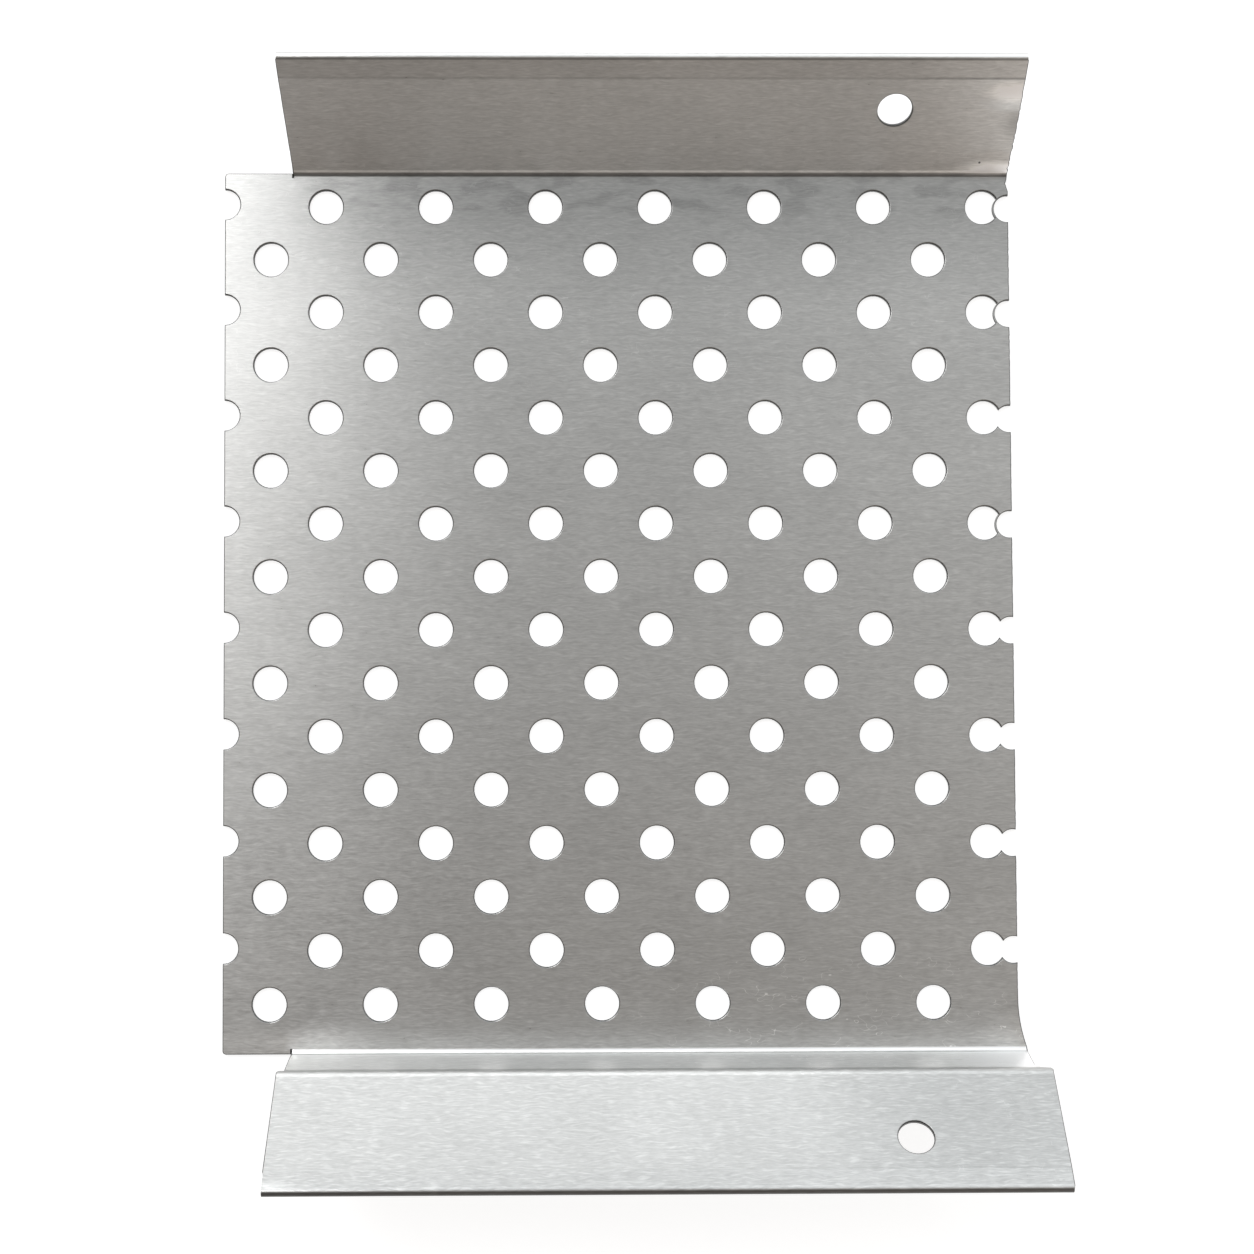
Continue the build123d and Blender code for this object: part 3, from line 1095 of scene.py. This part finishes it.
class SCENE_OT_sheet(bpy.types.Operator):
    """Shear, punch and bend the sheet, and give it its brushed finish"""

    bl_idname = "perforated.sheet"
    bl_label = "Folded Sheet"

    def execute(self, context):
        s = context.scene.perforated_sheet
        folded = FoldedSheet(s)
        collection = context.scene.collection
        helpers = []
        for name, data in (
            ("die", die(folded)),
            ("punch", punch(s)),
            ("section", section_curve(folded)),
        ):
            helpers.append(bpy.data.objects.new(name, data))
            collection.objects.link(helpers[-1])
        sheet = bpy.data.objects.new("sheet", plate(folded))
        collection.objects.link(sheet)

        modifier = sheet.modifiers.new("punch_and_bend", "NODES")
        modifier.node_group = sheet_tree()
        sockets = {
            item.name: item.identifier
            for item in modifier.node_group.interface.items_tree
            if item.in_out == "INPUT"
        }
        long_x = folded.left + s.short_inset + s.column_pitch / 2
        values = {
            "Die": helpers[0],
            "Punch": helpers[1],
            "Section": helpers[2],
            "Material": brushed_metal(context.scene.perforated_look, folded),
            "Holes in Row": s.holes_in_row,
            "Row Pairs": s.row_pairs,
            "Thickness": s.thickness,
            "Hole Radius": s.hole / 2 - s.rollover / 3,
            "Column Pitch": s.column_pitch,
            "Row Pitch": s.row_pitch,
            "Long Row X": long_x,
            "Short Row X": folded.left + s.short_inset,
            "First Row Y": folded.fold - s.first_row,
            "Left Notch Radius": s.left_notch,
            "Left Notch X": folded.left,
            "Left Notch Rise": s.left_notch_rise,
            "Right Notch Radius": s.right_notch,
            "Right Notch X": folded.right - s.right_notch_inset,
            "Right Notch Drop": s.right_notch_drop,
            "Sliver": s.sliver,
            # halfway through the slit beside the tab, and just past the tab's own ends
            "Tab Right": folded.flange_left - 0.05 * MM,
            "Tab Half Height": folded.fold + s.tab_reach + 0.02 * MM,
            "Start Reach": folded.points[0][0],
            "Plain Screw": (
                folded.right - s.plain_screw_inset,
                folded.plain_start + s.plain_screw_reach,
                0.0,
            ),
            "Stepped Screw": (
                folded.right - s.stepped_screw_inset,
                folded.stepped_start - s.stepped_screw_reach,
                0.0,
            ),
        }
        for name, value in values.items():
            modifier[sockets[name]] = value
        mesh = plain_mesh(context, sheet, "sheet")
        discard(sheet, *helpers)
        fewest_faces = 1000
        if len(mesh.polygons) < fewest_faces:
            raise RuntimeError("the sheet was not punched")
        sheet = bpy.data.objects.new("sheet", mesh)
        collection.objects.link(sheet)
        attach(sheet, "root")
        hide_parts(SHEET_NODE)
        return {"FINISHED"}


class SCENE_OT_sheet_stage(bpy.types.Operator):
    """Lay the pale floor, hang the lamps and place the camera"""

    bl_idname = "perforated.stage"
    bl_label = "Stage"

    def execute(self, context):
        settings = context.scene.perforated_stage
        mesh = bpy.data.meshes.new("floor")
        half, level = 3.0, -0.0002
        corners = [(-half, -half), (half, -half), (half, half), (-half, half)]
        mesh.from_pydata([(x, y, level) for x, y in corners], [], [(0, 1, 2, 3)])
        floor = bpy.data.objects.new("floor", mesh)
        context.scene.collection.objects.link(floor)
        mesh.materials.append(floor_paper(settings))

        for name, place, aim, size, radiance in (
            ("left_softbox", (-0.66, 0.7, 1.2), (0.0, 0.0, 0.0), (0.5, 0.95), 4.2),
            ("back_softbox", (-0.68, 1.7, 0.4), (0.0, -0.1, 0.0), (2.2, 0.62), 1.62),
        ):
            lamp = bpy.data.lights.new(name, "AREA")
            lamp.shape = "RECTANGLE"
            lamp.size, lamp.size_y = size
            lamp.energy = radiance * math.pi * size[0] * size[1]
            hung = bpy.data.objects.new(name, lamp)
            hung.location = place
            hung.rotation_euler = (Vector(place) - Vector(aim)).to_track_quat("Z", "Y").to_euler()
            context.scene.collection.objects.link(hung)

        data = bpy.data.cameras.new("camera")
        data.lens = settings.lens
        data.sensor_width = 36.0
        data.shift_y = settings.shift_up
        camera = bpy.data.objects.new("camera", data)
        camera.location = (settings.camera_x, settings.camera_y, settings.camera_height)
        turn = (
            Matrix.Rotation(settings.tilt, 3, "X")
            @ Matrix.Rotation(settings.lean, 3, "Y")
            @ Matrix.Rotation(settings.roll, 3, "Z")
        )
        camera.rotation_euler = turn.to_euler()
        context.scene.collection.objects.link(camera)
        context.scene.camera = camera
        context.scene.view_settings.view_transform = "Standard"

        context.scene.world = studio_world(settings)
        return {"FINISHED"}


class VIEW3D_PT_perforated_sheet(bpy.types.Panel):
    """Buttons and settings for the sheet and its stage."""

    bl_label = "Perforated Sheet"
    bl_space_type = "VIEW_3D"
    bl_region_type = "UI"
    bl_category = "Perforated Sheet"

    def draw(self, context):
        for operator, group in (
            (SCENE_OT_sheet, context.scene.perforated_sheet),
            (SCENE_OT_sheet, context.scene.perforated_look),
            (SCENE_OT_sheet_stage, context.scene.perforated_stage),
        ):
            box = self.layout.box()
            box.operator(operator.bl_idname)
            for name in group.__annotations__:
                box.prop(group, name)


CLASSES = (
    SheetSettings,
    LookSettings,
    StageSettings,
    SCENE_OT_sheet,
    SCENE_OT_sheet_stage,
    VIEW3D_PT_perforated_sheet,
)


def register():
    for cls in CLASSES:
        bpy.utils.register_class(cls)
    bpy.types.Scene.perforated_sheet = bpy.props.PointerProperty(type=SheetSettings)
    bpy.types.Scene.perforated_look = bpy.props.PointerProperty(type=LookSettings)
    bpy.types.Scene.perforated_stage = bpy.props.PointerProperty(type=StageSettings)


def unregister():
    del bpy.types.Scene.perforated_sheet
    del bpy.types.Scene.perforated_look
    del bpy.types.Scene.perforated_stage
    for cls in reversed(CLASSES):
        bpy.utils.unregister_class(cls)


def main():
    register()
    bpy.ops.perforated.sheet()
    bpy.ops.perforated.stage()


if __name__ == "__main__":
    main()
